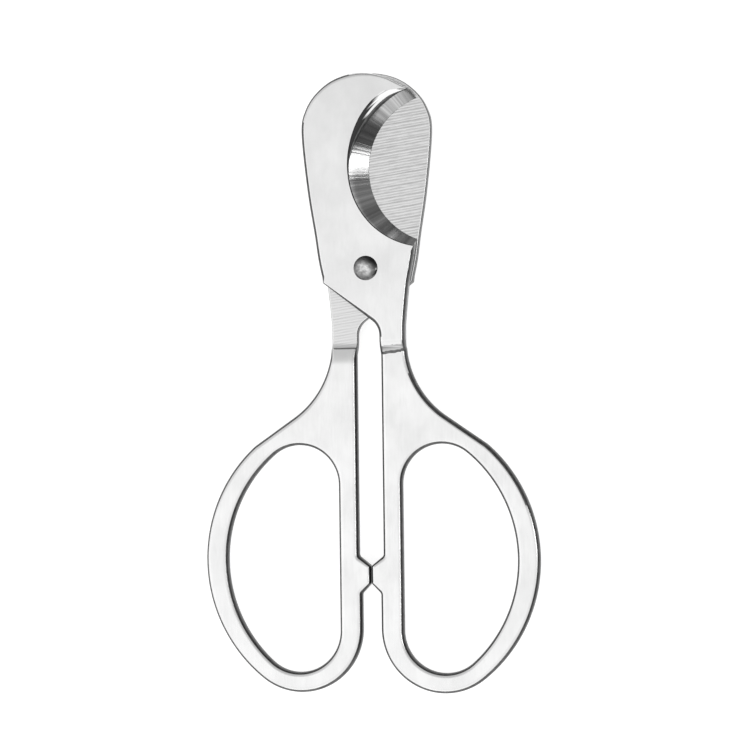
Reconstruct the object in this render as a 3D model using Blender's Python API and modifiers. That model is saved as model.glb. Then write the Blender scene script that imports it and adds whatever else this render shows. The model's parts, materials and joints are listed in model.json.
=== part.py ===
"""Round-notch hand scissors, closed and lying on their back.

Two halves of one stamping are turned against each other about a rivet. A half
is a blade with a bevelled crescent notch, a neck that steps down to the middle
plane, and a D-shaped finger loop. Sizes are in millimetres and degrees, and MM
turns them into metres. Outlines are drawn about the pivot, as on the upper
half: +X to the right, +Y to the blade tips, +Z up from the cutting faces.
"""

import math

import bmesh
import bpy
from mathutils import Matrix, Vector

MM = 0.001
ARC_STEP = 6.0

# Plate and pivot
PLATE = 3.0
BLADE_GAP = 0.1
RIVET_RADIUS = 2.0
RIVET_CLEARANCE = 0.05
RIVET_HEAD_RADIUS = 2.95
RIVET_HEAD_HEIGHT = 0.8
RIVET_PLAY = 0.05
RIVET_FACETS = 48

# Blade head: from the blunt tip, over the top and down the free side
HEAD_TOP = 47.2
TIP = (12.3, 40.9)
TIP_BLUNT = (10.5, 43.1)
HEAD_SIDE = [
    TIP_BLUNT,
    (4.4, 46.1),
    (-1.4, HEAD_TOP),
    (-7.4, 45.8),
    (-11.9, 42.6),
    (-14.7, 38.4),
    (-15.7, 33.0),
    (-14.4, 19.3),
    (-12.7, 8.3),
    (-11.8, 2.0),
    (-10.65, -3.4),
]

# Notch: a leaning cone, given by its circle on each face of the blade
NOTCH_CUT_CENTRE = Vector((18.5, 23.8, 0))
NOTCH_CUT_RADIUS = 18.1
NOTCH_FACE_CENTRE = Vector((15.2, 24.1, 0))
NOTCH_FACE_RADIUS = 19.2
NOTCH_FACETS = 96

# Neck: from the handle up to the notch's lower end
NECK_SIDE = [(9.2, -17.5), (9.2, -14.0), (9.7, -8.5), (10.3, -3.5), (11.0, 0.0), (12.1, 6.2)]
SLOT_HALF_WIDTH = 3.0
SLOT_CORNER_Y = -14.0
SLOT_CORNER_RADIUS = 4.5
STEP_TOP_Y = -17.6
STEP_FOOT_Y = -20.0
STEP_HEEL_Y = -19.0
STEP_HEEL_RUN = 0.3
STEP_HEEL_DEPTH = 1.0
STEP_TOE_Y = -23.2

# Finger loop
LOOP_MIDDLE_Y = -70.1
LOOP_REACH = 41.2
LOOP_SIDE_RADIUS = 36.6
LOOP_SIDE_TOP = 48.8
LOOP_END_RADIUS = 15.4
LOOP_SLOT_X = 2.3
SHOULDER_SLOPE = 34.5
SHOULDER_CORNER_RADIUS = 22.0
HOLE_REACH = 35.7
HOLE_SIDE_RADIUS = 33.1
HOLE_FLAT_X = 7.9
HOLE_TOP_RADIUS = 9.7
HOLE_END_RADIUS = 10.1

# Stop: the bump on each arm that meets its twin when the blades are closed
STOP_GAP = 0.2
STOP_TOP_Y = -71.6
STOP_BOTTOM_Y = -75.9
STOP_RAMP = 2.4
STOP_RADIUS = 1.0

BLADE_LOW = BLADE_GAP / 2
BLADE_HIGH = BLADE_LOW + PLATE
HANDLE_HIGH = PLATE / 2
HANDLE_LOW = -PLATE / 2


def arc(centre, radius, start, end):
    """Points along an arc, both ends included."""
    count = max(2, math.ceil(abs(end - start) / ARC_STEP) + 1)
    angles = [math.radians(start + (end - start) * i / (count - 1)) for i in range(count)]
    return [(centre[0] + radius * math.cos(a), centre[1] + radius * math.sin(a)) for a in angles]


def smooth(knots, pieces=4):
    """Points along a curve that passes through every knot (Catmull-Rom)."""
    line = [Vector(knot) for knot in knots]
    line = [line[0] * 2 - line[1], *line, line[-1] * 2 - line[-2]]
    points = []
    for a, b, c, d in zip(line, line[1:], line[2:], line[3:]):
        for i in range(pieces):
            t = i / pieces
            bend = (2 * a - 5 * b + 4 * c - d) * t**2 + (3 * b - a - 3 * c + d) * t**3
            points.append(tuple(b + ((c - a) * t + bend) / 2))
    return points + [tuple(knots[-1])]


def rounded(before, corner, after, radius):
    """The arc that rounds a corner between its two neighbours on the outline."""
    corner = Vector(corner)
    back = (Vector(before) - corner).normalized()
    ahead = (Vector(after) - corner).normalized()
    half = back.angle(ahead) / 2
    centre = corner + (back + ahead).normalized() * radius / math.sin(half)
    turn = math.degrees(math.pi - 2 * half)
    first = corner + back * radius / math.tan(half) - centre
    start = math.degrees(math.atan2(first.y, first.x))
    side = math.copysign(1, back.x * ahead.y - back.y * ahead.x)
    return arc(centre, radius, start, start - side * turn)


def nested_y(radius, x, side_radius, reach, direction):
    """Height at which a small end arc touches the loop's large side arc from inside."""
    run = x - (reach - side_radius)
    return LOOP_MIDDLE_Y + direction * math.sqrt((side_radius - radius) ** 2 - run**2)


def direction_of(centre, other):
    return math.degrees(math.atan2(other[1] - centre[1], other[0] - centre[0]))


def slot_edge():
    """The arm's inner edge, from the head's lower corner down past the stop."""
    contact = STOP_GAP / 2
    stops = [
        (SLOT_HALF_WIDTH, SLOT_CORNER_Y),
        (SLOT_HALF_WIDTH, STOP_TOP_Y + STOP_RAMP),
        (contact, STOP_TOP_Y),
        (contact, STOP_BOTTOM_Y),
        (LOOP_SLOT_X, STOP_BOTTOM_Y - STOP_RAMP),
        (LOOP_SLOT_X, LOOP_MIDDLE_Y - LOOP_END_RADIUS),
    ]
    points = rounded(HEAD_SIDE[-1], stops[0], stops[1], SLOT_CORNER_RADIUS)
    for before, corner, after in zip(stops, stops[1:], stops[2:]):
        points += rounded(before, corner, after, STOP_RADIUS)
    return points


def loop_edge():
    """The handle's outer edge: round the loop's end, up its side and over the shoulder."""
    side = (LOOP_REACH - LOOP_SIDE_RADIUS, LOOP_MIDDLE_Y)
    end_x = LOOP_SLOT_X + LOOP_END_RADIUS
    end = (end_x, nested_y(LOOP_END_RADIUS, end_x, LOOP_SIDE_RADIUS, LOOP_REACH, -1))
    joint = direction_of(side, end)
    outer = arc(side, LOOP_SIDE_RADIUS, joint, LOOP_SIDE_TOP)
    neck_x = NECK_SIDE[0][0]
    rise = (outer[-1][0] - neck_x) * math.tan(math.radians(SHOULDER_SLOPE))
    corner = (neck_x, outer[-1][1] + rise)
    shoulder = rounded(outer[-1], corner, NECK_SIDE[1], SHOULDER_CORNER_RADIUS)
    return arc(end, LOOP_END_RADIUS, -180, joint)[:-1] + outer + shoulder


def half_outline():
    return smooth(HEAD_SIDE) + slot_edge() + loop_edge() + smooth(NECK_SIDE)[1:] + [TIP]


def hole_outline():
    """The finger hole: a flat side, a large side arc and an arc at each end."""
    side = (HOLE_REACH - HOLE_SIDE_RADIUS, LOOP_MIDDLE_Y)
    end_x = HOLE_FLAT_X + HOLE_END_RADIUS
    top_x = HOLE_FLAT_X + HOLE_TOP_RADIUS
    end = (end_x, nested_y(HOLE_END_RADIUS, end_x, HOLE_SIDE_RADIUS, HOLE_REACH, -1))
    top = (top_x, nested_y(HOLE_TOP_RADIUS, top_x, HOLE_SIDE_RADIUS, HOLE_REACH, 1))
    return (
        arc(end, HOLE_END_RADIUS, -180, direction_of(side, end))[:-1]
        + arc(side, HOLE_SIDE_RADIUS, direction_of(side, end), direction_of(side, top))[:-1]
        + arc(top, HOLE_TOP_RADIUS, direction_of(side, top), 180)
    )


def new_collection(name):
    made = bpy.data.collections.new(name)
    bpy.context.scene.collection.children.link(made)
    return made


def flat_plate(name, outlines, low, high):
    """A mesh object extruded from flat outlines; an outline inside another is a hole."""
    curve = bpy.data.curves.new(name, "CURVE")
    curve.dimensions = "2D"
    curve.fill_mode = "BOTH"
    curve.extrude = (high - low) / 2 * MM
    for outline in outlines:
        spline = curve.splines.new("POLY")
        spline.points.add(len(outline) - 1)
        for point, (x, y) in zip(spline.points, outline):
            point.co = (x * MM, y * MM, 0, 1)
        spline.use_cyclic_u = True
    drawn = bpy.data.objects.new(name + "_outline", curve)
    bpy.context.scene.collection.objects.link(drawn)
    drawn.location.z = (high + low) / 2 * MM
    bpy.context.view_layer.update()
    graph = bpy.context.evaluated_depsgraph_get()
    mesh = bpy.data.meshes.new_from_object(drawn.evaluated_get(graph))
    mesh.transform(drawn.matrix_world)
    bpy.data.objects.remove(drawn)
    weld(mesh)
    return bpy.data.objects.new(name, mesh)


def weld(mesh):
    """Joins an extruded outline's loose caps to its walls, and turns its faces out."""
    shape = bmesh.new()
    shape.from_mesh(mesh)
    bmesh.ops.remove_doubles(shape, verts=shape.verts, dist=0.001 * MM)
    bmesh.ops.recalc_face_normals(shape, faces=shape.faces)
    shape.to_mesh(mesh)
    shape.free()


def as_cutter(piece, collection):
    collection.objects.link(piece)
    piece.hide_render = True
    piece.display_type = "WIRE"
    return piece


def round_cutter(name, low, high, facets):
    """A cone or cylinder between two (centre, radius, z) circles, leaning if they aren't in line."""
    (low_centre, low_radius, low_z), (high_centre, high_radius, high_z) = low, high
    depth = high_z - low_z
    mesh = bpy.data.meshes.new(name)
    shape = bmesh.new()
    bmesh.ops.create_cone(
        shape,
        cap_ends=True,
        segments=facets,
        radius1=low_radius * MM,
        radius2=high_radius * MM,
        depth=depth * MM,
    )
    shape.to_mesh(mesh)
    shape.free()
    lean = (high_centre - low_centre) / depth
    mesh.transform(Matrix.Shear("XY", 4, (lean.x, lean.y)))
    middle = (low_centre + high_centre) / 2 + Vector((0, 0, (low_z + high_z) / 2))
    mesh.transform(Matrix.Translation(middle * MM))
    return bpy.data.objects.new(name, mesh)


def notch_cutter():
    """The notch's cone, run past both faces of the blade so that it cuts cleanly."""

    def circle(z):
        share = (z - BLADE_LOW) / PLATE
        centre = NOTCH_CUT_CENTRE + (NOTCH_FACE_CENTRE - NOTCH_CUT_CENTRE) * share
        return centre, NOTCH_CUT_RADIUS + (NOTCH_FACE_RADIUS - NOTCH_CUT_RADIUS) * share, z

    return round_cutter("notch_cutter", circle(-PLATE), circle(2 * PLATE), NOTCH_FACETS)


def rivet_cutter():
    radius = RIVET_RADIUS + RIVET_CLEARANCE
    centre = Vector((0, 0, 0))
    ends = (centre, radius, -2 * PLATE), (centre, radius, 2 * PLATE)
    return round_cutter("rivet_hole_cutter", *ends, RIVET_FACETS)


def relief_cutter(name, profile):
    """A side profile of (y, z) points, extruded right across the half."""
    reach = LOOP_REACH + PLATE
    cutter = flat_plate(name, [profile], -reach, reach)
    cutter.data.transform(Matrix(((0, 0, 1, 0), (1, 0, 0, 0), (0, 1, 0, 0), (0, 0, 0, 1))))
    return cutter


def upper_relief():
    """Takes the blank down to the handle's upper face, below the step."""
    far = -2 * (LOOP_REACH + LOOP_SIDE_RADIUS)
    over = BLADE_HIGH + PLATE
    profile = [
        (STEP_TOP_Y, BLADE_HIGH),
        (STEP_TOP_Y, over),
        (far, over),
        (far, HANDLE_HIGH),
        (STEP_FOOT_Y, HANDLE_HIGH),
    ]
    return relief_cutter("upper_relief_cutter", profile)


def lower_relief():
    """Takes the blank up to the blade's cutting face, above the step."""
    far = 2 * HEAD_TOP
    under = HANDLE_LOW - PLATE
    profile = [
        (STEP_TOE_Y, HANDLE_LOW),
        (STEP_TOE_Y, under),
        (far, under),
        (far, BLADE_LOW),
        (STEP_HEEL_Y, BLADE_LOW),
        (STEP_HEEL_Y - STEP_HEEL_RUN, BLADE_LOW - STEP_HEEL_DEPTH),
    ]
    return relief_cutter("lower_relief_cutter", profile)


def half_mesh(cutters):
    """The stamping that both halves share, drawn as the upper half."""
    blank = flat_plate("blank", [half_outline(), hole_outline()], HANDLE_LOW, BLADE_HIGH)
    bpy.context.scene.collection.objects.link(blank)
    for cutter in (upper_relief(), lower_relief(), notch_cutter(), rivet_cutter()):
        cut = blank.modifiers.new(cutter.name, "BOOLEAN")
        cut.operation = "DIFFERENCE"
        cut.object = as_cutter(cutter, cutters)
    bpy.context.view_layer.update()
    graph = bpy.context.evaluated_depsgraph_get()
    mesh = bpy.data.meshes.new_from_object(blank.evaluated_get(graph))
    bpy.data.objects.remove(blank)
    mesh.name = "half"
    mesh.shade_smooth()
    mesh.set_sharp_from_angle(angle=math.radians(25))
    return mesh


def rivet(material):
    """A straight shank between two low domes, turned from one profile."""
    seat = BLADE_HIGH + RIVET_PLAY
    crown = seat + RIVET_HEAD_HEIGHT
    dome_radius = (RIVET_HEAD_RADIUS**2 + RIVET_HEAD_HEIGHT**2) / (2 * RIVET_HEAD_HEIGHT)
    edge = math.degrees(math.asin(RIVET_HEAD_RADIUS / dome_radius))
    dome = arc((0, crown - dome_radius), dome_radius, 90, 90 - edge)
    upper = dome + [(RIVET_RADIUS, seat)]
    profile = upper + [(x, -z) for x, z in reversed(upper)]
    mesh = bpy.data.meshes.new("pivot_rivet")
    edges = [(i, i + 1) for i in range(len(profile) - 1)]
    mesh.from_pydata([(x * MM, 0, z * MM) for x, z in profile], edges, [])
    made = bpy.data.objects.new("pivot_rivet", mesh)
    turn = made.modifiers.new("turn", "SCREW")
    turn.steps = turn.render_steps = RIVET_FACETS
    turn.use_merge_vertices = True
    turn.merge_threshold = 0.000001
    turn.use_smooth_shade = True
    mesh.materials.append(material)
    return made


def steel(name, colour, roughness):
    material = bpy.data.materials.new(name)
    material.use_nodes = True
    shader = material.node_tree.nodes["Principled BSDF"]
    shader.inputs["Base Color"].default_value = (*colour, 1)
    shader.inputs["Metallic"].default_value = 1
    shader.inputs["Roughness"].default_value = roughness
    return material


def build():
    for old in list(bpy.data.objects):
        bpy.data.objects.remove(old)
    parts = new_collection("round_notch_scissors")
    cutters = new_collection("cutters")

    pivot = bpy.data.objects.new("pivot", None)
    parts.objects.link(pivot)

    mesh = half_mesh(cutters)
    mesh.materials.append(steel("polished_steel", (0.80, 0.80, 0.79), 0.22))
    front = bpy.data.objects.new("front_half", mesh)
    rear = bpy.data.objects.new("rear_half", mesh)
    rear.rotation_euler.y = math.pi
    pin = rivet(steel("rivet_steel", (0.74, 0.74, 0.73), 0.16))
    for piece in (front, rear, pin):
        parts.objects.link(piece)
    for piece in (front, rear, pin, *cutters.objects):
        piece.parent = pivot

    length_below = -min(y for _, y in half_outline())
    rivet_half_height = BLADE_HIGH + RIVET_PLAY + RIVET_HEAD_HEIGHT
    pivot.location = (0, (length_below - HEAD_TOP) / 2 * MM, rivet_half_height * MM)


build()
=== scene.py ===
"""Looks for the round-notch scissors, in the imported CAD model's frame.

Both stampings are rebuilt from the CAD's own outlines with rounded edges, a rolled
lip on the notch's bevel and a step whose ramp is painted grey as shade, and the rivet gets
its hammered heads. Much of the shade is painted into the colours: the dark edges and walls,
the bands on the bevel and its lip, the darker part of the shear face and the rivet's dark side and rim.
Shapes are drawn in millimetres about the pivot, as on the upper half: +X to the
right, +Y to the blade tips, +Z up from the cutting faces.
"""

import json
import math

import bmesh
import bpy
import numpy as np
from mathutils import Matrix, Vector, noise
from mathutils.geometry import delaunay_2d_cdt


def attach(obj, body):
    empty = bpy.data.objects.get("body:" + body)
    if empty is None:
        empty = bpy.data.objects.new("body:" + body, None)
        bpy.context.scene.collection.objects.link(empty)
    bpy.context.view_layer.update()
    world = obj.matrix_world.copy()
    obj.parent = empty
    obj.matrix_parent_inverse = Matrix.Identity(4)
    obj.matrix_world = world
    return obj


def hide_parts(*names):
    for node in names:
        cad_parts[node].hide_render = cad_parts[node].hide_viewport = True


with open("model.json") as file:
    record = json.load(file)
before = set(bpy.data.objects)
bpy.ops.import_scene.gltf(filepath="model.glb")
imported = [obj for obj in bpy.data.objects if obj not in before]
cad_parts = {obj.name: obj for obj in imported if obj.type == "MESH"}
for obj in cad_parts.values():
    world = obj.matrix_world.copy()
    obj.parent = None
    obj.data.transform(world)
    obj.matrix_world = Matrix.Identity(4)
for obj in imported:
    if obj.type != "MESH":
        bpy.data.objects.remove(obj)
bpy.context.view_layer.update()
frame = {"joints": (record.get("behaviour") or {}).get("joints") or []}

MM = 0.001
TINY = 1e-6
MERGE_WITHIN = 0.0005
ARC_STEP = 2.0
PIVOT = Vector(frame["joints"][0]["pos_m"])

# Plate
BLADE_LOW = 0.05
BLADE_HIGH = 3.05
HANDLE_LOW = -1.5
HANDLE_HIGH = 1.5

# Blade head: from the blunt tip, over the top and down the free side
HEAD_SIDE = [
    (10.5, 43.1),
    (4.4, 46.1),
    (-1.4, 47.2),
    (-7.4, 45.8),
    (-11.9, 42.6),
    (-14.7, 38.4),
    (-15.7, 33.0),
    (-14.4, 19.3),
    (-12.7, 8.3),
    (-11.8, 2.0),
    (-10.65, -3.4),
]
HEEL_RADIUS = 0.4

# Notch: its circle on each face of the blade, from the neck up to the tip
NOTCH_FACE = {"centre": (15.2, 24.1), "radius": 19.2, "start": 260.0, "end": 103.4}
NOTCH_CUT = {"centre": (18.5, 23.8), "radius": 18.1, "start": 249.3, "end": 110.0}
NOTCH_POINTS = 150

# Neck, and the slot between the arms
NECK_SIDE = [(9.2, -17.5), (9.2, -14.0), (9.7, -8.5), (10.3, -3.5), (11.0, 0.0), (12.1, 6.2)]
NECK_END_Y = 4.6
SLOT_HALF_WIDTH = 3.0
SLOT_CORNER_Y = -14.0
SLOT_CORNER_RADIUS = 4.5
ARM_MIDDLE_X = 7.0

# Finger loop
LOOP_MIDDLE_Y = -70.1
LOOP_REACH = 41.2
LOOP_SIDE_RADIUS = 36.6
LOOP_SIDE_TOP = 48.8
LOOP_END_RADIUS = 15.4
LOOP_SLOT_X = 2.3
SHOULDER_SLOPE = 34.5
SHOULDER_CORNER_RADIUS = 22.0
HOLE_REACH = 35.7
HOLE_SIDE_RADIUS = 33.1
HOLE_FLAT_X = 7.9
HOLE_TOP_RADIUS = 9.7
HOLE_END_RADIUS = 10.1

# Stop bumps
STOP_GAP = 0.2
STOP_TOP_Y = -71.6
STOP_BOTTOM_Y = -75.9
STOP_RAMP = 2.4
STOP_RADIUS = 1.0

# Step between blade and handle: the ramp above, and the heel and long rounding below
RAMP_TOP_Y = -17.3
RAMP_FOOT_SLOT_Y = -20.8
RAMP_FOOT_OUTER_Y = -20.0
HEEL_TOP_Y = -17.8
HEEL_Y = -19.05
HEEL_RISE = 0.25
HEEL_RUN = 0.25
HEEL_DEPTH = 0.95
TOE_Y = -23.2
STEP_FROM_Y = -16.6
STEP_TO_Y = -23.8
STEP_SPACING = 0.2
ROW_SPACING = 0.8

# Rounded edges: their radii, smaller near the tip, and the room that they leave in tight places
BLADE_ROUND = 1.0
TIP_ROUND_SHARE = 0.4
TIP_ROUND_REACH = (5.0, 14.0)
CUTTING_SIDE_ROUND = 0.25
CUTTING_ROUND = 0.03
HANDLE_ROUND = 1.2
ROUND_BLEND_Y = (-22.0, -18.0)
ROUND_STEPS = 6
ROOM_SHARE = 0.85
FLAT_RIM = 0.06
LEAST_ROUND = 0.02

# Lip rolled along the notch: at each angle, its width and the share of the bevel that it takes
LIP_ROLL = 2.2
LIP_START = 5.0
LIP = [
    (103, 0.85, 0.03),
    (110, 2.0, 0.08),
    (120, 2.4, 0.19),
    (130, 2.5, 0.24),
    (145, 2.2, 0.26),
    (155, 1.6, 0.20),
    (165, 1.0, 0.12),
    (175, 0.5, 0.05),
    (185, 0.25, 0.02),
    (262, 0.15, 0.0),
]

# Painted light and shade on the bevel: its brightness at angles round the notch, in radians from its
# left toward the tip
BEVEL_SHADES = [
    (-1.0, 0.85),
    (-0.85, 0.3),
    (-0.7, 0.8),
    (-0.52, 0.45),
    (-0.4, 1.0),
    (-0.1, 0.55),
    (0.25, 0.55),
    (0.32, 0.25),
    (0.6, 0.25),
    (0.7, 0.5),
    (1.04, 0.5),
    (1.2, 0.25),
]

# Where each material shows: heights above the handle on the ramp, which is painted grey as shade with a
# painted dark foot, and the dark part of the edges, which is painted shade
RAMP_SHOWS = (0.01, BLADE_HIGH - HANDLE_HIGH - 0.3)
RAMP_FOOT_HEIGHT = 0.4
EDGE_LEVEL = 2
FREE_SIDE_TOP_Y = 36.0
SHOULDER_LEAN = 0.35

# Studio dome: its axis and glow, and the cosines to the axis where it starts and where it is full.
# A fade is two reaches of a direction along +Y, and the share of the glow that is left at each.
# The horizon's glow grows from its first value to its second as a direction turns to its bright side.
DOME_AXIS = (-0.2, 0.0, 1.0)
DOME_EDGE = (0.42, 0.6)
DOME_GLOW = 1.2
AWAY_FADE = (-0.05, 0.27, 1.0, 0.45)
NEAR_FADE = (-0.06, -0.2, 1.0, 0.8)
BRIGHT_SIDE = (-0.8, -0.6, 0.0)
HORIZON_TURN = (-0.6, 0.8)
HORIZON_GLOW = (0.26, 0.7)

# Softboxes in metres: name, centre, width, depth and radiance, all facing one point
SOFTBOX_AIM = (0, 0.02, 0)
SOFTBOXES = [
    ("right", (1.0, 0.05, 0.87), 0.3, 0.3, 6.0),
    ("front", (0.3, -1.6, 0.5), 2.6, 1.15, 0.95),
]

# Floor
FLOOR_REACH = 3.0
FLOOR_GREY = 0.5
FLOOR_GLOW = 0.72

# Camera: degrees from straight above to the right and toward the tips, degrees of roll, and its aim
CAMERA_SIDE = 13.0
CAMERA_DIP = -1.0
CAMERA_ROLL = -0.715
CAMERA_DISTANCE = 0.6656
CAMERA_TARGET = (1.31, -25.7, 0.0)
CAMERA_LENS = 132.5

# Sharp edges: the angle in degrees between faces that shade as an edge
HALF_SHARP = 32.0
RIVET_SHARP = 60.0

# Milling: its degrees out of level, two pitches, and the wave texture's scale for a 1 mm pitch
MILLING_TURN = 8.0
MILLING_PITCHES = (1.35, 0.67)
WAVE_SCALE = math.pi / 10

# Rivet: shank, heads, the scale and depth of their dents, and the side where shade is painted darker
HOLE_RADIUS = 2.05
BORE_STEP = 7.5
RIVET_RADIUS = 2.0
RIVET_HEAD_RADIUS = 2.95
RIVET_HEAD_HEIGHT = 0.8
RIVET_DOME_POWER = 0.75
RIVET_RIM_POWER = 8
RIVET_PLAY = 0.05
RIVET_SIDES = 96
RIVET_RINGS = 28
RIVET_DENTS = [(0.55, 0.3), (1.6, 0.06)]
RIVET_DENTS_FROM = (3.7, 1.3, 0.4)
HEADS_APART = 9.0
SHADED_SIDE = (0.5, 0.85, 0.0)


def arc(centre, radius, start, end, step=ARC_STEP):
    """Points along an arc, both ends included."""
    count = max(2, math.ceil(abs(end - start) / step) + 1)
    angles = [math.radians(start + (end - start) * i / (count - 1)) for i in range(count)]
    return [(centre[0] + radius * math.cos(a), centre[1] + radius * math.sin(a)) for a in angles]


def smooth(knots, pieces=8):
    """Points along a curve that passes through every knot (Catmull-Rom)."""
    line = [Vector(knot) for knot in knots]
    line = [line[0] * 2 - line[1], *line, line[-1] * 2 - line[-2]]
    points = []
    for a, b, c, d in zip(line, line[1:], line[2:], line[3:]):
        for i in range(pieces):
            t = i / pieces
            bend = (2 * a - 5 * b + 4 * c - d) * t**2 + (3 * b - a - 3 * c + d) * t**3
            points.append(tuple(b + ((c - a) * t + bend) / 2))
    return points + [tuple(knots[-1])]


def rounded(before, corner, after, radius, step=10.0):
    """The arc that rounds a corner between its two neighbours on the outline."""
    corner = Vector(corner)
    back = (Vector(before) - corner).normalized()
    ahead = (Vector(after) - corner).normalized()
    half = back.angle(ahead) / 2
    centre = corner + (back + ahead).normalized() * radius / math.sin(half)
    turn = math.degrees(math.pi - 2 * half)
    first = corner + back * radius / math.tan(half) - centre
    start = math.degrees(math.atan2(first.y, first.x))
    side = math.copysign(1, back.x * ahead.y - back.y * ahead.x)
    return arc(centre, radius, start, start - side * turn, step)


def straight(start, end, spacing):
    """Points along a straight run, without its ends."""
    start, end = Vector(start), Vector(end)
    count = max(1, round((end - start).length / spacing))
    return [tuple(start.lerp(end, i / count)) for i in range(1, count)]


def nested_y(radius, x, side_radius, reach, direction):
    """Height at which a small end arc touches the loop's large side arc from inside."""
    run = x - (reach - side_radius)
    return LOOP_MIDDLE_Y + direction * math.sqrt((side_radius - radius) ** 2 - run**2)


def direction_of(centre, other):
    return math.degrees(math.atan2(other[1] - centre[1], other[0] - centre[0]))


def slot_edge():
    """The arm's inner edge, from the head's lower corner down past the stop."""
    contact = STOP_GAP / 2
    stops = [
        (SLOT_HALF_WIDTH, SLOT_CORNER_Y),
        (SLOT_HALF_WIDTH, STOP_TOP_Y + STOP_RAMP),
        (contact, STOP_TOP_Y),
        (contact, STOP_BOTTOM_Y),
        (LOOP_SLOT_X, STOP_BOTTOM_Y - STOP_RAMP),
        (LOOP_SLOT_X, LOOP_MIDDLE_Y - LOOP_END_RADIUS),
    ]
    points = rounded(HEAD_SIDE[-2], HEAD_SIDE[-1], stops[0], HEEL_RADIUS)
    points += rounded(HEAD_SIDE[-1], stops[0], stops[1], SLOT_CORNER_RADIUS, ARC_STEP)
    points += straight(points[-1], (SLOT_HALF_WIDTH, STEP_TO_Y), STEP_SPACING)
    points += straight((SLOT_HALF_WIDTH, STEP_TO_Y), stops[1], 3.0)
    for before, corner, after in zip(stops, stops[1:], stops[2:]):
        points += rounded(before, corner, after, STOP_RADIUS)
    return points


def loop_edge():
    """The handle's outer edge: round the loop's end, up its side and over the shoulder."""
    side = (LOOP_REACH - LOOP_SIDE_RADIUS, LOOP_MIDDLE_Y)
    end_x = LOOP_SLOT_X + LOOP_END_RADIUS
    end = (end_x, nested_y(LOOP_END_RADIUS, end_x, LOOP_SIDE_RADIUS, LOOP_REACH, -1))
    joint = direction_of(side, end)
    outer = arc(side, LOOP_SIDE_RADIUS, joint, LOOP_SIDE_TOP, 1.0)
    neck_x = NECK_SIDE[0][0]
    rise = (outer[-1][0] - neck_x) * math.tan(math.radians(SHOULDER_SLOPE))
    corner = (neck_x, outer[-1][1] + rise)
    turn_step = math.degrees(STEP_SPACING / SHOULDER_CORNER_RADIUS)
    shoulder = rounded(outer[-1], corner, NECK_SIDE[1], SHOULDER_CORNER_RADIUS, turn_step)
    return (
        arc(end, LOOP_END_RADIUS, -180, joint)[:-1]
        + outer
        + straight(outer[-1], shoulder[0], 1.0)
        + shoulder
        + straight(shoulder[-1], NECK_SIDE[1], STEP_SPACING)
    )


def free_edge():
    """The edge that both faces share: all of the outline but the notch."""
    neck = [point for point in smooth(NECK_SIDE[1:]) if point[1] < NECK_END_Y]
    return smooth(HEAD_SIDE)[:-2] + slot_edge() + loop_edge() + neck


def hole_outline():
    """The finger hole: a flat side, a large side arc and an arc at each end."""
    side = (HOLE_REACH - HOLE_SIDE_RADIUS, LOOP_MIDDLE_Y)
    end_x = HOLE_FLAT_X + HOLE_END_RADIUS
    top_x = HOLE_FLAT_X + HOLE_TOP_RADIUS
    end = (end_x, nested_y(HOLE_END_RADIUS, end_x, HOLE_SIDE_RADIUS, HOLE_REACH, -1))
    top = (top_x, nested_y(HOLE_TOP_RADIUS, top_x, HOLE_SIDE_RADIUS, HOLE_REACH, 1))
    return (
        arc(end, HOLE_END_RADIUS, -180, direction_of(side, end))[:-1]
        + arc(side, HOLE_SIDE_RADIUS, direction_of(side, end), direction_of(side, top), 1.0)[:-1]
        + arc(top, HOLE_TOP_RADIUS, direction_of(side, top), 180)
    )


def blend_between(value, low, high):
    """0 below low, 1 above high, and smooth between."""
    t = np.clip((value - low) / (high - low), 0, 1)
    return t * t * (3 - 2 * t)


def upper_z(x, y):
    """Height of the upper face: blade, rounded ramp, handle."""
    across = np.clip((x - SLOT_HALF_WIDTH) / (NECK_SIDE[0][0] - SLOT_HALF_WIDTH), 0, 1)
    foot = RAMP_FOOT_SLOT_Y + (RAMP_FOOT_OUTER_Y - RAMP_FOOT_SLOT_Y) * across
    climb = np.clip((y - foot) / (RAMP_TOP_Y - foot), 0, 1)
    return HANDLE_HIGH + (BLADE_HIGH - HANDLE_HIGH) * np.sin(climb * math.pi / 2)


def lower_z(x, y):
    """Height of the lower face: cutting face, hollow, sharp heel, long rounding to the handle."""
    hollow = HEEL_RISE * np.clip((HEEL_TOP_Y - y) / (HEEL_TOP_Y - HEEL_Y), 0, 1) ** 2
    heel = (HEEL_DEPTH - HEEL_RISE) * np.clip((HEEL_Y - y) / HEEL_RUN, 0, 1)
    heel_end = HEEL_Y - HEEL_RUN
    along = np.clip((heel_end - y) / (heel_end - TOE_Y), 0, 1)
    toe = (BLADE_LOW - HANDLE_LOW - HEEL_DEPTH) * np.sin(along * math.pi / 2)
    return BLADE_LOW - hollow - heel - toe


def outward(ring):
    """Each point's outward direction on an outline that runs anticlockwise, long at corners."""
    ahead = np.roll(ring, -1, axis=0) - ring
    ahead /= np.linalg.norm(ahead, axis=1)[:, None]
    sides = np.stack([ahead[:, 1], -ahead[:, 0]], axis=1)
    middle = sides + np.roll(sides, 1, axis=0)
    return middle * 2 / np.maximum((middle**2).sum(axis=1), 1.0)[:, None]


def round_section():
    """(inset, drop) as shares of the radius, for a quarter circle from the face to the wall."""
    angles = [math.pi / 2 * i / ROUND_STEPS for i in range(ROUND_STEPS + 1)]
    return [(1 - math.sin(a), 1 - math.cos(a)) for a in angles]


def lip_section():
    """(inset, drop) as shares of the lip's width and drop, for a soft roll into the bevel."""
    shares = [i / ROUND_STEPS for i in range(ROUND_STEPS + 1)]
    return [(1 - s, s**LIP_ROLL) for s in shares]


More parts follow.
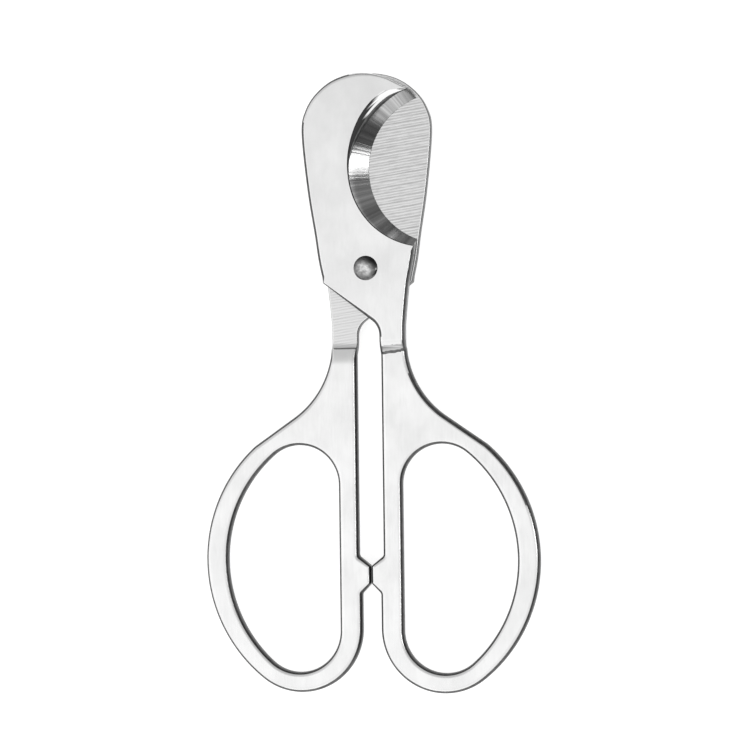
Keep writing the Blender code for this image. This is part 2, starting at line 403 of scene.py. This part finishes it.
def room_inside(ring, away):
    """Radius of the largest circle inside the outline that touches it at each point."""
    apart = ring[None, :, :] - ring[:, None, :]
    normal = away / np.linalg.norm(away, axis=1)[:, None]
    depth = -(apart * normal[:, None, :]).sum(axis=2)
    square = (apart**2).sum(axis=2)
    radii = np.where(depth > TINY, square / (2 * np.maximum(depth, TINY)), np.inf)
    return radii.min(axis=1)


def face_rings(ring, radius, surface, direction, lip=0.0, lip_drop=0.0):
    """The rings from a face's flat part out to its wall. Direction is -1 on the upper face."""
    away = outward(ring)
    lip = np.broadcast_to(lip, radius.shape)
    radius = np.clip(ROOM_SHARE * room_inside(ring, away) - FLAT_RIM, LEAST_ROUND, radius)
    flat = ring - away * (radius + FLAT_RIM)[:, None]
    rings = [np.column_stack([flat, surface(flat[:, 0], flat[:, 1])])]
    for (round_in, round_down), (lip_in, lip_down) in zip(round_section(), lip_section()):
        inset = (round_in * (1 - lip) + lip_in * lip) * radius
        drop = round_down * (1 - lip) * radius + lip_down * lip_drop
        at = ring - away * inset[:, None]
        rings.append(np.column_stack([at, surface(at[:, 0], at[:, 1]) + direction * drop]))
    return rings


def contains(ring, points):
    """Which points lie inside a closed outline."""
    x, y = points[:, 0][:, None], points[:, 1][:, None]
    x0, y0 = ring[:, 0], ring[:, 1]
    x1, y1 = np.roll(x0, -1), np.roll(y0, -1)
    straddles = (y0 > y) != (y1 > y)
    with np.errstate(divide="ignore", invalid="ignore"):
        crossing = x0 + (y - y0) * (x1 - x0) / (y1 - y0)
    return (straddles & (x < crossing)).sum(axis=1) % 2 == 1


def step_rows(ring):
    """Lines across the neck, from the slot's edge to the outer edge, where the faces step."""
    in_step = (ring[:, 1] < STEP_FROM_Y) & (ring[:, 1] > STEP_TO_Y)
    slot = [i for i in np.flatnonzero(in_step) if ring[i, 0] < ARM_MIDDLE_X]
    outer = [i for i in np.flatnonzero(in_step) if ring[i, 0] > ARM_MIDDLE_X]
    rows = []
    for i in slot:
        j = min(outer, key=lambda k: abs(ring[k, 1] - ring[i, 1]))
        if not rows or rows[-1][1] != j:
            rows.append((i, j))
    return rows


def cap(outer, holes, surface):
    """Triangles that fill a face inside its innermost rings, as (points, faces)."""
    points = [Vector(p[:2]) for ring in (outer, *holes) for p in ring]
    edges = []
    first = 0
    for ring in (outer, *holes):
        count = len(ring)
        edges += [(first + i, first + (i + 1) % count) for i in range(count)]
        first += count
    for i, j in step_rows(outer):
        inner = [tuple(p) for p in straight(outer[i][:2], outer[j][:2], ROW_SPACING)]
        chain = [i, *range(len(points), len(points) + len(inner)), j]
        points += [Vector(p) for p in inner]
        edges += list(zip(chain, chain[1:]))
    found = delaunay_2d_cdt(points, edges, [], 0, TINY / 10, False)
    flat = np.array([tuple(p) for p in found[0]])
    faces = np.array([tuple(f) for f in found[2]])
    middles = flat[faces].mean(axis=1)
    keep = contains(outer[:, :2], middles)
    for hole in holes:
        keep &= ~contains(hole[:, :2], middles)
    return np.column_stack([flat, surface(flat[:, 0], flat[:, 1])]), faces[keep]


class Shell:
    """Collects one closed mesh, with a material number on each face."""

    def __init__(self):
        self.points = []
        self.faces = []
        self.numbers = []

    def add(self, points, faces, numbers):
        first = len(self.points)
        self.points += [tuple(p) for p in points]
        self.faces += [tuple(first + i for i in face) for face in faces]
        self.numbers += list(numbers)

    def loft(self, rings, number_of):
        """Strips of quads between rings that have the same number of points."""
        count = len(rings[0])
        points = np.concatenate(rings)
        faces, numbers = [], []
        for level in range(len(rings) - 1):
            for i in range(count):
                j = (i + 1) % count
                a, b = level * count, (level + 1) * count
                faces.append((a + i, a + j, b + j, b + i))
                numbers.append(number_of(level, i))
        self.add(points, faces, numbers)

    def mesh(self, name, sharp):
        made = bpy.data.meshes.new(name)
        made.from_pydata([tuple(c * MM for c in p) for p in self.points], [], self.faces)
        made.polygons.foreach_set("material_index", self.numbers)
        shape = bmesh.new()
        shape.from_mesh(made)
        bmesh.ops.remove_doubles(shape, verts=shape.verts, dist=MERGE_WITHIN * MM)
        bmesh.ops.recalc_face_normals(shape, faces=shape.faces)
        shape.to_mesh(made)
        shape.free()
        made.shade_smooth()
        made.set_sharp_from_angle(angle=math.radians(sharp))
        return made


# Material numbers: the edge, wall and grey ramp materials carry painted shade, and the bevel, lip and
# milled face carry painted light and shade in parts.
POLISHED, SHADED_EDGE, SHADED_WALL, BEVEL, MILLED, SHADED_GREY, LIP_SIDE = range(7)


def ramp_number(point):
    """The material at a point of the upper face: painted grey shade on the ramp, with a painted dark
    foot.
    """
    above_handle = point[2] - HANDLE_HIGH
    if not RAMP_SHOWS[0] < above_handle < RAMP_SHOWS[1]:
        return POLISHED
    return SHADED_EDGE if above_handle < RAMP_FOOT_HEIGHT else SHADED_GREY


def wide_edge(ring):
    """Where more of the upper rounding gets the near-black painted shade: the free side, the heel and
    the shoulder.
    """
    x, y = ring[:, 0], ring[:, 1]
    free_side = (y < FREE_SIDE_TOP_Y) & (y > STEP_FROM_Y) & (x < ARM_MIDDLE_X)
    shoulder = (y < STEP_TO_Y) & (x > ARM_MIDDLE_X) & (outward(ring)[:, 1] > SHOULDER_LEAN)
    return free_side | shoulder


def notch_arc(circle):
    """The notch's points on one face, from the neck to the tip."""
    step = (circle["start"] - circle["end"]) / NOTCH_POINTS
    return arc(circle["centre"], circle["radius"], circle["start"], circle["end"], step)


class Outline:
    """The stamping's outline on both faces, point for point, and what holds at each point."""

    def __init__(self):
        free = free_edge()
        face, cut = np.array(notch_arc(NOTCH_FACE)), np.array(notch_arc(NOTCH_CUT))
        self.angles = np.linspace(NOTCH_FACE["start"], NOTCH_FACE["end"], len(face))
        taken = self.lip_value(2)
        self.upper = np.concatenate([free, face + (cut - face) * taken[:, None]])
        self.lower = np.concatenate([free, cut])
        self.on_notch = np.arange(len(self.upper)) >= len(free)
        self.from_tip = np.linalg.norm(self.upper - self.upper[0], axis=1)
        self.lip = np.zeros(len(self.upper))
        self.lip[self.on_notch] = blend_between(
            self.angles, NOTCH_FACE["end"], NOTCH_FACE["end"] + LIP_START
        )
        self.lip_drop = np.zeros(len(self.upper))
        self.lip_drop[self.on_notch] = taken * (BLADE_HIGH - BLADE_LOW)

    def lip_value(self, column):
        """One column of the LIP table at each point of the notch."""
        return np.interp(self.angles, [row[0] for row in LIP], [row[column] for row in LIP])

    def rounds(self, on_blade, on_notch):
        """The edge's radius at each point of one face, from the handle's to the blade's."""
        blade = blend_between(self.upper[:, 1], *ROUND_BLEND_Y)
        radius = HANDLE_ROUND + (on_blade - HANDLE_ROUND) * blade
        radius[self.on_notch] = on_notch
        return radius

    def upper_rounds(self):
        radius = self.rounds(BLADE_ROUND, 0)
        grown = blend_between(self.from_tip, *TIP_ROUND_REACH)
        radius *= TIP_ROUND_SHARE + (1 - TIP_ROUND_SHARE) * grown
        radius[self.on_notch] = self.lip_value(1)
        return radius


def rim_number(outline, above, wall_count):
    """The rule that gives each quad of the outer rim its material."""
    rounds = len(above) - 1
    wide = wide_edge(outline.upper)
    lower_edge = 2 * rounds + wall_count - EDGE_LEVEL

    def notch_number(level, i):
        if level < rounds - 2:
            return LIP_SIDE
        if level < rounds:
            return SHADED_EDGE if level == rounds - 2 else SHADED_WALL
        return SHADED_WALL if i == len(outline.upper) - 1 else BEVEL

    def number_of(level, i):
        x, y = outline.upper[i]
        near_tip = outline.from_tip[i] < TIP_ROUND_REACH[1] and level < rounds
        if outline.on_notch[i]:
            return notch_number(level, i)
        if level <= EDGE_LEVEL - wide[i] or near_tip:
            return ramp_number(above[0][i])
        if rounds <= level <= rounds + wall_count:
            on_neck = NECK_SIDE[0][1] < y < NECK_END_Y and x > ARM_MIDDLE_X
            # a band of the neck's wall is painted grey as shade
            return SHADED_GREY if on_neck and level == rounds + 1 else SHADED_WALL
        return SHADED_EDGE if level < lower_edge else POLISHED

    return number_of


def hole_number(level, i):
    """The material of each quad round the finger hole: rounding and wall painted dark as shade, the wall
    darker.
    """
    if level == ROUND_STEPS + 1:
        return SHADED_WALL
    return SHADED_EDGE if EDGE_LEVEL < level < 2 * (ROUND_STEPS + 1) - EDGE_LEVEL else POLISHED


def add_rim(shell):
    """The outer rim: rounding, wall or bevel, rounding. Returns its innermost ring on each face."""
    outline = Outline()
    above = face_rings(outline.upper, outline.upper_rounds(), upper_z, -1, outline.lip, outline.lip_drop)
    below = face_rings(outline.lower, outline.rounds(CUTTING_SIDE_ROUND, CUTTING_ROUND), lower_z, 1)
    wall = [above[-1] * (1 - t) + below[-1] * t for t in (1 / 3, 2 / 3)]
    shell.loft(above + wall + below[::-1], rim_number(outline, above, len(wall)))
    return above[0], below[0]


def add_finger_hole(shell):
    """The finger hole's rim. Returns its outermost ring on each face."""
    hole = np.array(hole_outline())[::-1]
    rounds = np.full(len(hole), HANDLE_ROUND)
    above = face_rings(hole, rounds, upper_z, -1)
    below = face_rings(hole, rounds, lower_z, 1)
    shell.loft(above + below[::-1], hole_number)
    return above[0], below[0]


def add_bore(shell):
    """The rivet's bore. Returns its ring on each face."""
    bore = np.array(arc((0, 0), HOLE_RADIUS, 0, 360, BORE_STEP)[:-1])
    above, below = [np.column_stack([bore, np.full(len(bore), z)]) for z in (BLADE_HIGH, BLADE_LOW)]
    shell.loft([above, below], lambda level, i: SHADED_EDGE)
    return above, below


def half_shell():
    """The stamping that both halves share, as the upper half."""
    shell = Shell()
    uppers, lowers = zip(add_rim(shell), add_finger_hole(shell), add_bore(shell))
    points, faces = cap(uppers[0], uppers[1:], upper_z)
    shell.add(points, faces, [ramp_number(middle) for middle in points[faces].mean(axis=1)])
    points, faces = cap(lowers[0], lowers[1:], lower_z)
    middles = points[faces].mean(axis=1)
    shell.add(points, faces, [MILLED if y > HEEL_Y else POLISHED for y in middles[:, 1]])
    return shell


def hammered(x, y):
    """Depth of the dents that a hammer left on a rivet head, in millimetres below its dome."""
    at = Vector((x, y, 0)) + Vector(RIVET_DENTS_FROM)
    return sum(depth * noise.noise(at * scale) for scale, depth in RIVET_DENTS)


def rivet_head(sign):
    """Rings from the middle of one head out to its rim, the highest point at the CAD's height."""
    seat = BLADE_HIGH + RIVET_PLAY
    circle = np.array(arc((0, 0), 1, 0, 360, 360 / RIVET_SIDES)[:-1])
    shares = np.sin(np.arange(1, RIVET_RINGS + 1) / RIVET_RINGS * math.pi / 2)
    heights = []
    for share in shares:
        dents = [hammered(x + HEADS_APART * sign, y) for x, y in circle * share * RIVET_HEAD_RADIUS]
        dome = RIVET_HEAD_HEIGHT * (1 - share**2) ** RIVET_DOME_POWER
        heights.append(dome - np.array(dents) * (1 - share**RIVET_RIM_POWER))
    heights = np.array(heights)
    heights = np.maximum(heights * RIVET_HEAD_HEIGHT / heights.max(), 0)
    return [
        np.column_stack([circle * share * RIVET_HEAD_RADIUS, sign * (seat + row)])
        for share, row in zip(shares, heights)
    ]


def rivet_shell():
    """A shank between two hammered heads."""
    shell = Shell()
    ring = np.array(arc((0, 0), RIVET_RADIUS, 0, 360, 360 / RIVET_SIDES)[:-1])
    seat = np.full(len(ring), BLADE_HIGH + RIVET_PLAY)
    seats = [np.column_stack([ring, sign * seat]) for sign in (1, -1)]
    rings = rivet_head(1) + seats + rivet_head(-1)[::-1]
    shell.loft(rings, lambda level, i: 0)
    for end in (rings[0], rings[-1]):
        fan = [(i, (i + 1) % RIVET_SIDES, RIVET_SIDES) for i in range(RIVET_SIDES)]
        shell.add([*end, end.mean(axis=0)], fan, [0] * RIVET_SIDES)
    return shell


def place(name, shell, sharp, materials, turned=False):
    """A piece at the pivot, turned over about Y for the rear half."""
    mesh = shell.mesh(name, sharp)
    piece = bpy.data.objects.new(name, mesh)
    bpy.context.scene.collection.objects.link(piece)
    turn = Matrix.Rotation(math.pi, 4, "Y") if turned else Matrix.Identity(4)
    piece.matrix_world = Matrix.Translation(PIVOT) @ turn
    for material in materials:
        mesh.materials.append(material)
    return piece


class NodeTree:
    """The nodes of a material or world, with short ways to add to them."""

    def __init__(self, owner):
        owner.use_nodes = True
        self.tree = owner.node_tree

    def node(self, kind, inputs=(), **settings):
        made = self.tree.nodes.new(kind)
        for name, value in settings.items():
            setattr(made, name, value)
        for name, value in dict(inputs).items():
            self.feed(value, made.inputs[name])
        return made

    def feed(self, value, socket):
        if isinstance(value, bpy.types.NodeSocket):
            self.tree.links.new(value, socket)
        else:
            socket.default_value = value

    def math(self, operation, first, second=0.0):
        return self.node("ShaderNodeMath", {0: first, 1: second}, operation=operation).outputs[0]

    def times(self, first, second):
        return self.math("MULTIPLY", first, second)

    def plus(self, first, second):
        return self.math("ADD", first, second)

    def along(self, vector, axis):
        """How far the vector reaches along the axis."""
        made = self.node("ShaderNodeVectorMath", {0: vector, 1: axis}, operation="DOT_PRODUCT")
        return made.outputs["Value"]

    def length(self, vector):
        made = self.node("ShaderNodeVectorMath", {0: vector}, operation="LENGTH")
        return made.outputs["Value"]

    def ranged(self, value, low, high, from_low=0.3, from_high=0.7, interpolation="LINEAR"):
        """Value, which varies between from_low and from_high, moved to low..high."""
        inputs = {
            "Value": value,
            "From Min": from_low,
            "From Max": from_high,
            "To Min": low,
            "To Max": high,
        }
        made = self.node("ShaderNodeMapRange", inputs, interpolation_type=interpolation)
        return made.outputs["Result"]

    def faded(self, value, from_low, from_high, low, high):
        """The same, easing in and out."""
        return self.ranged(value, low, high, from_low, from_high, "SMOOTHSTEP")

    def graded(self, value, stops):
        """The second number of each stop where value has the first, and a straight run between."""
        first, last = stops[0][0], stops[-1][0]
        made = self.node("ShaderNodeValToRGB", {"Fac": self.ranged(value, 0.0, 1.0, first, last)})
        marks = made.color_ramp.elements
        while len(marks) < len(stops):
            marks.new(1.0)
        for mark, (at, level) in zip(marks, stops):
            mark.position = (at - first) / (last - first)
            mark.color = (level, level, level, 1)
        return made.outputs["Color"]


class Steel(NodeTree):
    """A metal material, textured by the piece's own coordinates."""

    def __init__(self, name, grey, roughness):
        self.material = bpy.data.materials.new(name)
        super().__init__(self.material)
        self.shader = self.tree.nodes["Principled BSDF"]
        self.shader.inputs["Base Color"].default_value = (grey, grey, grey, 1)
        self.shader.inputs["Metallic"].default_value = 1
        self.shader.inputs["Roughness"].default_value = roughness
        self.place = self.node("ShaderNodeTexCoord").outputs["Object"]

    def stretched(self, scale, turn=0.0):
        """Place in millimetres times scale, turned about Z first."""
        rotation = (0, 0, math.radians(turn))
        turned = self.node("ShaderNodeMapping", {"Vector": self.place, "Rotation": rotation})
        scaled = {"Vector": turned.outputs[0], "Scale": [s / MM for s in scale]}
        return self.node("ShaderNodeMapping", scaled).outputs[0]

    def noise(self, vector, detail=2.0, rough=0.5):
        inputs = {"Vector": vector, "Scale": 1.0, "Detail": detail, "Roughness": rough}
        return self.node("ShaderNodeTexNoise", inputs).outputs["Fac"]

    def combined(self, x, y=0.0):
        return self.node("ShaderNodeCombineXYZ", {"X": x, "Y": y}).outputs[0]

    def separated(self):
        return self.node("ShaderNodeSeparateXYZ", {"Vector": self.place}).outputs

    def paint(self, value):
        self.feed(value, self.shader.inputs["Base Color"])

    def roughen(self, value):
        self.feed(value, self.shader.inputs["Roughness"])

    def bumps(self, *layers):
        """Stacks (height 0..1, depth in mm) layers of relief on the surface's normal."""
        normal = None
        for height, depth in layers:
            inputs = {"Height": height, "Distance": depth * MM, "Strength": 1.0}
            if normal:
                inputs["Normal"] = normal
            normal = self.node("ShaderNodeBump", inputs).outputs["Normal"]
        self.tree.links.new(normal, self.shader.inputs["Normal"])


def polished_steel():
    """The outer faces: slow swells, a fine grain along the length and a faint cloud."""
    steel = Steel("polished_steel", 0.57, 0.22)
    swells = steel.noise(steel.stretched((0.06, 0.045, 0.06)), 2.0)
    grain = steel.noise(steel.stretched((3.0, 0.25, 3.0)), 3.0)
    cloud = steel.noise(steel.stretched((0.12, 0.09, 0.12)), 4.0, 0.6)
    steel.bumps((swells, 0.3), (grain, 0.0012))
    steel.paint(steel.ranged(cloud, 0.535, 0.6))
    steel.roughen(steel.ranged(grain, 0.2, 0.27))
    return steel.material


def shaded_scuffed_steel(name, low, high):
    """The stamped edges and walls, scuffed along their length and painted nearly black as shade."""
    steel = Steel(name, low, 0.3)
    scuffs = steel.noise(steel.stretched((0.8, 0.8, 5.0)), 3.0)
    steel.bumps((scuffs, 0.02))
    # painted shade: the near-black grey stands for the dark things that polished edges and walls reflect
    steel.paint(steel.ranged(scuffs, low, high))
    return steel.material


def shaded_grey_steel():
    """The ramp's grey, painted as shade and streaked across the neck."""
    steel = Steel("shaded_grey_steel", 0.25, 0.35)
    streaks = steel.noise(steel.stretched((0.15, 2.2, 0.5), 4.0), 3.0, 0.6)
    steel.bumps((streaks, 0.02))
    # painted shade: the grey stands for the shading of the ramp
    steel.paint(steel.ranged(streaks, 0.17, 0.5))
    return steel.material


def round_notch(steel, centre):
    """Each point's angle round the notch, from its left toward the tip, and its distance in mm."""
    place = steel.separated()
    across = steel.math("SUBTRACT", centre[0] * MM, place["X"])
    along = steel.math("SUBTRACT", place["Y"], centre[1] * MM)
    reach = steel.math("DIVIDE", steel.length(steel.combined(across, along)), MM)
    return steel.math("ARCTAN2", along, across), reach


def bevel_steel():
    """Ground round the notch: streaks cross the bevel, with painted light and shade in bands round it.
    """
    steel = Steel("bevel_steel", 0.46, 0.16)
    turn, _ = round_notch(steel, NOTCH_CUT["centre"])
    streaks = steel.noise(steel.combined(steel.times(turn, 14.0)), 4.0, 0.65)
    steel.bumps((streaks, 0.07))
    ground = steel.ranged(streaks, 0.32, 1.0)
    # painted light and shade in bands round the notch
    steel.paint(steel.times(ground, steel.graded(turn, BEVEL_SHADES)))
    return steel.material


def lip_steel():
    """Painted light and shade on the lip: bright below the tip, dark at it, and darker along fine lines
    that widen away from it.
    """
    steel = Steel("lip_steel", 0.6, 0.2)
    turn, reach = round_notch(steel, NOTCH_FACE["centre"])
    drawn = steel.noise(steel.combined(steel.times(reach, 2.4), turn), 2.0)
    shade_away_from_tip = steel.ranged(turn, 1.0, 0.0, 0.5, 1.0)
    past_edge = steel.math("SUBTRACT", reach, NOTCH_FACE["radius"] - 0.1)
    shade_at_tip = steel.ranged(turn, 0.0, 0.6, 1.2, 1.27)
    place = steel.plus(steel.plus(shade_away_from_tip, steel.times(past_edge, 0.3)), shade_at_tip)
    # painted light and shade: lighter below the tip, darker at the tip, away from it and along the fine
    # lines
    steel.paint(steel.ranged(steel.plus(place, drawn), 0.66, 0.03, 0.96, 1.16))
    return steel.material


def milled_steel():
    """Cutter lines across the shear face, a little out of level, with painted shade that darkens them
    toward the tips and leaves them fainter on the neck.
    """
    steel = Steel("milled_steel", 0.48, 0.3)
    level = steel.stretched((0.03, 1.0, 0.03), MILLING_TURN)
    wavy = {"Vector": level, "Distortion": 2.5, "Detail": 3.0, "Detail Scale": 1.5}
    coarse, close = [
        steel.node("ShaderNodeTexWave", {**wavy, "Scale": WAVE_SCALE / pitch}, bands_direction="Y")
        for pitch in MILLING_PITCHES
    ]
    fine = steel.noise(steel.stretched((0.06, 2.4, 0.06), MILLING_TURN), 3.0, 0.6)
    dashes = steel.noise(steel.stretched((0.35, 1.6, 0.1), MILLING_TURN), 3.0, 0.6)
    rows = steel.plus(steel.times(coarse.outputs["Fac"], 0.3), steel.times(close.outputs["Fac"], 0.7))
    marks = steel.times(steel.plus(rows, fine), steel.plus(dashes, 0.1))
    steel.bumps((marks, 0.03))
    # painted shade: the marks darken from 6 mm below the pivot to 6 mm above it
    darkest = steel.ranged(steel.separated()["Y"], 0.48, 0.33, -0.006, 0.006)
    steel.paint(steel.ranged(marks, darkest, 0.52, 0.2, 0.75))
    return steel.material


def rivet_steel():
    """The mottled heads, with painted shade toward the rim and on one side."""
    steel = Steel("rivet_steel", 0.4, 0.16)
    mottle = steel.noise(steel.stretched((0.8, 0.8, 0.8)), 3.0)
    steel.bumps((mottle, 0.06))
    flat = steel.stretched((1.0, 1.0, 0.0))
    # painted shade on one side of each head and toward its rim
    side_shade = steel.ranged(steel.along(flat, SHADED_SIDE), 1.0, 0.2, 0.4, 2.2)
    rim = steel.ranged(steel.length(flat), 1.0, 0.25, 0.9, 2.5)
    patches = steel.ranged(mottle, 0.22, 0.6)
    steel.paint(steel.times(patches, steel.times(side_shade, rim)))
    return steel.material


def softbox(name, centre, width, depth, radiance):
    """An area light of the given size and radiance, facing the object."""
    light = bpy.data.lights.new(name, "AREA")
    light.shape = "RECTANGLE"
    light.size = width
    light.size_y = depth
    light.energy = radiance * math.pi * width * depth
    made = bpy.data.objects.new(name, light)
    bpy.context.scene.collection.objects.link(made)
    made.location = centre
    facing = Vector(SOFTBOX_AIM) - Vector(centre)
    made.rotation_euler = facing.to_track_quat("-Z", "Y").to_euler()


def dome():
    """Soft white light overhead, leaning left and fading both ways along Y, over a dim horizon."""
    world = bpy.data.worlds.new("studio")
    sky = NodeTree(world)
    direction = sky.node("ShaderNodeTexCoord").outputs["Generated"]
    lean = sky.along(direction, Vector(DOME_AXIS).normalized())
    aside = sky.along(direction, Vector(BRIGHT_SIDE).normalized())
    ahead = sky.along(direction, (0, 1, 0))
    high = sky.faded(lean, *DOME_EDGE, 0.0, DOME_GLOW)
    horizon = sky.faded(aside, *HORIZON_TURN, *HORIZON_GLOW)
    fade = sky.times(sky.faded(ahead, *AWAY_FADE), sky.faded(ahead, *NEAR_FADE))
    background = sky.tree.nodes["Background"]
    sky.feed(sky.plus(sky.times(high, fade), horizon), background.inputs["Strength"])
    background.inputs["Color"].default_value = (1, 1, 1, 1)
    bpy.context.scene.world = world


def pale_floor():
    """A wide sheet of grey paper that glows, so that it looks white under the object."""
    mesh = bpy.data.meshes.new("floor")
    corners = [(-1, -1), (1, -1), (1, 1), (-1, 1)]
    mesh.from_pydata([(x * FLOOR_REACH, y * FLOOR_REACH, 0) for x, y in corners], [], [(0, 1, 2, 3)])
    floor = bpy.data.objects.new("floor", mesh)
    bpy.context.scene.collection.objects.link(floor)
    paper = bpy.data.materials.new("pale_floor")
    paper.use_nodes = True
    shader = paper.node_tree.nodes["Principled BSDF"]
    shader.inputs["Base Color"].default_value = (FLOOR_GREY, FLOOR_GREY, FLOOR_GREY, 1)
    shader.inputs["Roughness"].default_value = 0.9
    shader.inputs["Specular IOR Level"].default_value = 0.0
    shader.inputs["Emission Color"].default_value = (1, 1, 1, 1)
    shader.inputs["Emission Strength"].default_value = FLOOR_GLOW
    mesh.materials.append(paper)


def studio():
    dome()
    pale_floor()
    for settings in SOFTBOXES:
        softbox(*settings)


def aim_camera():
    """The camera looks down from a little to the right of straight above."""
    side, dip, roll = (math.radians(angle) for angle in (CAMERA_SIDE, CAMERA_DIP, CAMERA_ROLL))
    back = Vector((math.sin(side) * math.cos(dip), math.sin(dip), math.cos(side) * math.cos(dip)))
    right = Vector((math.cos(side), 0, -math.sin(side)))
    up = back.cross(right)
    across = right * math.cos(roll) + up * math.sin(roll)
    upward = up * math.cos(roll) - right * math.sin(roll)
    turn = Matrix((across, upward, back)).transposed().to_4x4()
    data = bpy.data.cameras.new("camera")
    data.lens = CAMERA_LENS
    data.clip_start = 0.01
    camera = bpy.data.objects.new("camera", data)
    bpy.context.scene.collection.objects.link(camera)
    target = PIVOT + Vector(CAMERA_TARGET) * MM
    camera.matrix_world = Matrix.Translation(target + back * CAMERA_DISTANCE) @ turn
    bpy.context.scene.camera = camera


def half_steels():
    """A half's materials, in the order of their numbers."""
    return [
        polished_steel(),
        # the edge and wall materials are painted shade
        shaded_scuffed_steel("edge_shade_steel", 0.06, 0.13),
        shaded_scuffed_steel("wall_shade_steel", 0.03, 0.08),
        bevel_steel(),
        milled_steel(),
        shaded_grey_steel(),
        lip_steel(),
    ]


def build():
    """Both halves, the rivet, the studio and the camera."""
    bpy.context.scene.view_settings.view_transform = "Standard"
    half, steels = half_shell(), half_steels()
    front = place("front_half_finished", half, HALF_SHARP, steels)
    rear = place("rear_half_finished", half, HALF_SHARP, steels, turned=True)
    rivet = place("pivot_rivet_finished", rivet_shell(), RIVET_SHARP, [rivet_steel()])
    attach(front, "front")
    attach(rear, "rear")
    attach(rivet, "rear")
    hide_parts("front_half")
    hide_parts("rear_half")
    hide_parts("pivot_rivet")
    studio()
    aim_camera()


build()
